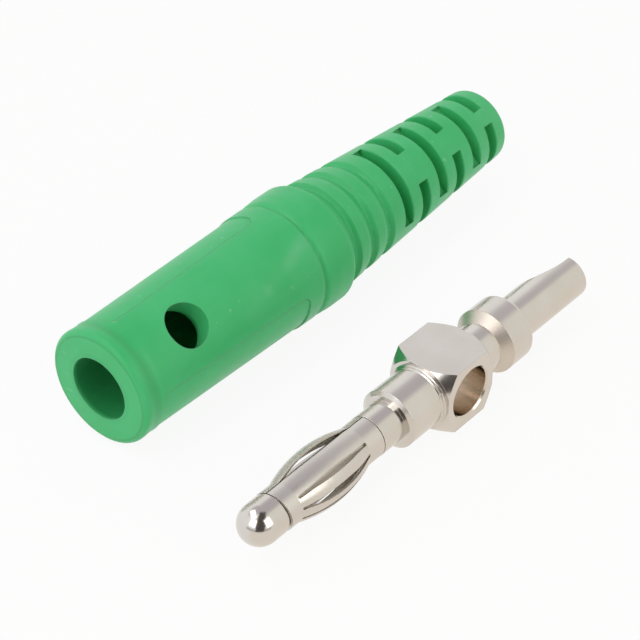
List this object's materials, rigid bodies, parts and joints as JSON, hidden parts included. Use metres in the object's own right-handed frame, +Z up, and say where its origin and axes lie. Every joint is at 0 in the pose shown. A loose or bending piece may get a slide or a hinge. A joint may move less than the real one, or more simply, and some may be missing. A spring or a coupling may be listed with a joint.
{
  "type": "banana plug",
  "caption": "Banana plug with bulged spring cage, square block with cross socket and scooped solder tail, its ribbed insulating sleeve drawn off beside it.",
  "frame": {"origin": "centre of the footprint of plug and sleeve on the surface they lie on", "axes": "+X along both pieces from the plug's nose to its solder tail, +Y from the plug to the sleeve, +Z up"},
  "size_m": [0.0484, 0.0242, 0.0102],
  "materials": {
    "green_vinyl": "soft moulded vinyl with a low sheen",
    "nickel": "bright nickel plate over turned brass",
    "nickel_spring": "bright nickel plate over rolled spring sheet"
  },
  "bodies": {
    "plug_and_sleeve": {"plug_body": "nickel", "insulating_sleeve": "green_vinyl"},
    "cage": {"spring_cage": "nickel_spring"}
  },
  "joints": [
    {"name": "cage_turn", "type": "hinge", "parent": "plug_and_sleeve", "child": "cage", "pos_m": [-0.01604, -0.00941, 0.00272], "axis": [1, 0, 0], "continuous": true}
  ]
}
